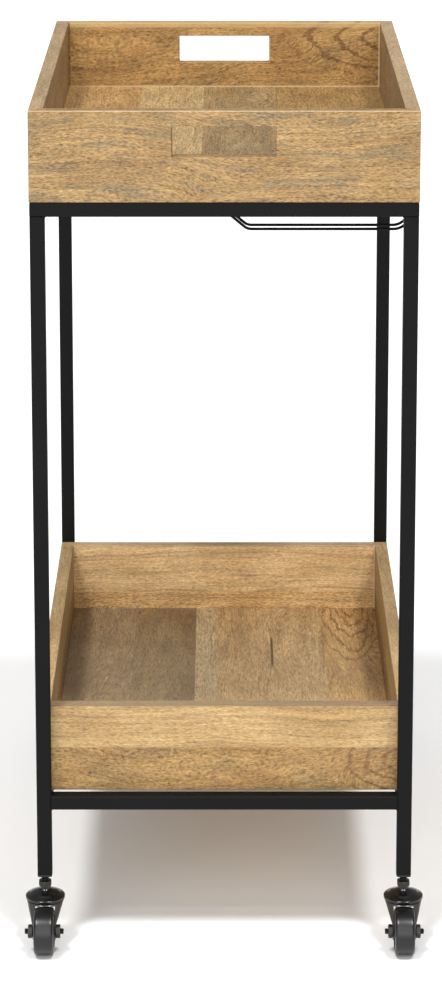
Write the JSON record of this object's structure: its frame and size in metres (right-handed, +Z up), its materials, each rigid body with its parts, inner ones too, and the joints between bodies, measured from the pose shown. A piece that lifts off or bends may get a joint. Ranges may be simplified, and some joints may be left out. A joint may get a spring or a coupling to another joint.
{
  "type": "bar cart",
  "caption": "Bar cart on swivel casters: square-tube frame, lift-off wooden tray with hand holes, open wooden box below and wire rack for hanging stemmed glasses.",
  "frame": {"origin": "on the floor under the middle of the cart", "axes": "+X across the cart, towards the side that the glass rack hangs from; +Y along its length; +Z up"},
  "size_m": [0.4264, 0.6944, 0.911],
  "materials": {
    "mango_wood": "oiled, satin",
    "powder_coated_steel": "fine powder coat, satin",
    "caster_enamel": "semi-gloss enamel on pressed steel",
    "blackened_steel": "black oxide, satin",
    "bearing_steel": "polished, greased",
    "hub_plastic": "moulded",
    "wheel_tread": "smooth solid tread, satin",
    "black_plastic": "moulded"
  },
  "bodies": {
    "frame": {"leg_front_left": "powder_coated_steel", "leg_front_right": "powder_coated_steel", "leg_rear_left": "powder_coated_steel", "leg_rear_right": "powder_coated_steel", "top_rail_front": "powder_coated_steel", "top_rail_rear": "powder_coated_steel", "top_rail_left": "powder_coated_steel", "top_rail_right": "powder_coated_steel", "bottom_rail_front": "powder_coated_steel", "bottom_rail_rear": "powder_coated_steel", "bottom_rail_left": "powder_coated_steel", "bottom_rail_right": "powder_coated_steel", "glass_rail_1": "powder_coated_steel", "glass_rail_2": "powder_coated_steel", "glass_rail_3": "powder_coated_steel", "glass_rail_4": "powder_coated_steel", "glass_rail_5": "powder_coated_steel", "glass_rail_front": "powder_coated_steel", "glass_rail_rear": "powder_coated_steel", "leg_end_plugs": "black_plastic", "shelf_spacers": "black_plastic", "tray_locating_pegs": "black_plastic", "caster_stems": "blackened_steel", "stem_lock_nuts": "blackened_steel", "shelf_screws": "blackened_steel", "caster_cap_front_left": "caster_enamel", "caster_cap_front_right": "caster_enamel", "caster_cap_rear_left": "caster_enamel", "caster_cap_rear_right": "caster_enamel", "swivel_bearing_balls": "bearing_steel", "shelf_front_wall": "mango_wood", "shelf_rear_wall": "mango_wood", "shelf_left_wall": "mango_wood", "shelf_right_wall": "mango_wood", "shelf_floor": "mango_wood"},
    "tray": {"tray_front_wall": "mango_wood", "tray_rear_wall": "mango_wood", "tray_left_wall": "mango_wood", "tray_right_wall": "mango_wood", "tray_floor": "mango_wood"},
    "caster_front_left": {"caster_fork_front_left": "caster_enamel", "axle_bolt_front_left": "blackened_steel", "axle_nuts_front_left": "blackened_steel"},
    "wheel_front_left": {"wheel_hub_front_left": "hub_plastic", "wheel_tyre_front_left": "wheel_tread"},
    "caster_front_right": {"caster_fork_front_right": "caster_enamel", "axle_bolt_front_right": "blackened_steel", "axle_nuts_front_right": "blackened_steel"},
    "wheel_front_right": {"wheel_hub_front_right": "hub_plastic", "wheel_tyre_front_right": "wheel_tread"},
    "caster_rear_left": {"caster_fork_rear_left": "caster_enamel", "axle_bolt_rear_left": "blackened_steel", "axle_nuts_rear_left": "blackened_steel"},
    "wheel_rear_left": {"wheel_hub_rear_left": "hub_plastic", "wheel_tyre_rear_left": "wheel_tread"},
    "caster_rear_right": {"caster_fork_rear_right": "caster_enamel", "axle_bolt_rear_right": "blackened_steel", "axle_nuts_rear_right": "blackened_steel"},
    "wheel_rear_right": {"wheel_hub_rear_right": "hub_plastic", "wheel_tyre_rear_right": "wheel_tread"}
  },
  "joints": [
    {"name": "tray_lift", "type": "slide", "parent": "frame", "child": "tray", "axis": [0, 0, 1], "range_m": [0, 0.15]},
    {"name": "swivel_front_left", "type": "hinge", "parent": "frame", "child": "caster_front_left", "pos_m": [-0.19225, -0.29225, 0.049], "axis": [0, 0, 1], "continuous": true},
    {"name": "swivel_front_right", "type": "hinge", "parent": "frame", "child": "caster_front_right", "pos_m": [0.19225, -0.29225, 0.049], "axis": [0, 0, 1], "continuous": true},
    {"name": "swivel_rear_left", "type": "hinge", "parent": "frame", "child": "caster_rear_left", "pos_m": [-0.19225, 0.29225, 0.049], "axis": [0, 0, 1], "continuous": true},
    {"name": "swivel_rear_right", "type": "hinge", "parent": "frame", "child": "caster_rear_right", "pos_m": [0.19225, 0.29225, 0.049], "axis": [0, 0, 1], "continuous": true},
    {"name": "roll_front_left", "type": "hinge", "parent": "caster_front_left", "child": "wheel_front_left", "pos_m": [-0.19225, -0.32225, 0.025], "axis": [1, 0, 0], "continuous": true},
    {"name": "roll_front_right", "type": "hinge", "parent": "caster_front_right", "child": "wheel_front_right", "pos_m": [0.19225, -0.32225, 0.025], "axis": [1, 0, 0], "continuous": true},
    {"name": "roll_rear_left", "type": "hinge", "parent": "caster_rear_left", "child": "wheel_rear_left", "pos_m": [-0.19225, 0.32225, 0.025], "axis": [1, 0, 0], "continuous": true},
    {"name": "roll_rear_right", "type": "hinge", "parent": "caster_rear_right", "child": "wheel_rear_right", "pos_m": [0.19225, 0.32225, 0.025], "axis": [1, 0, 0], "continuous": true}
  ]
}
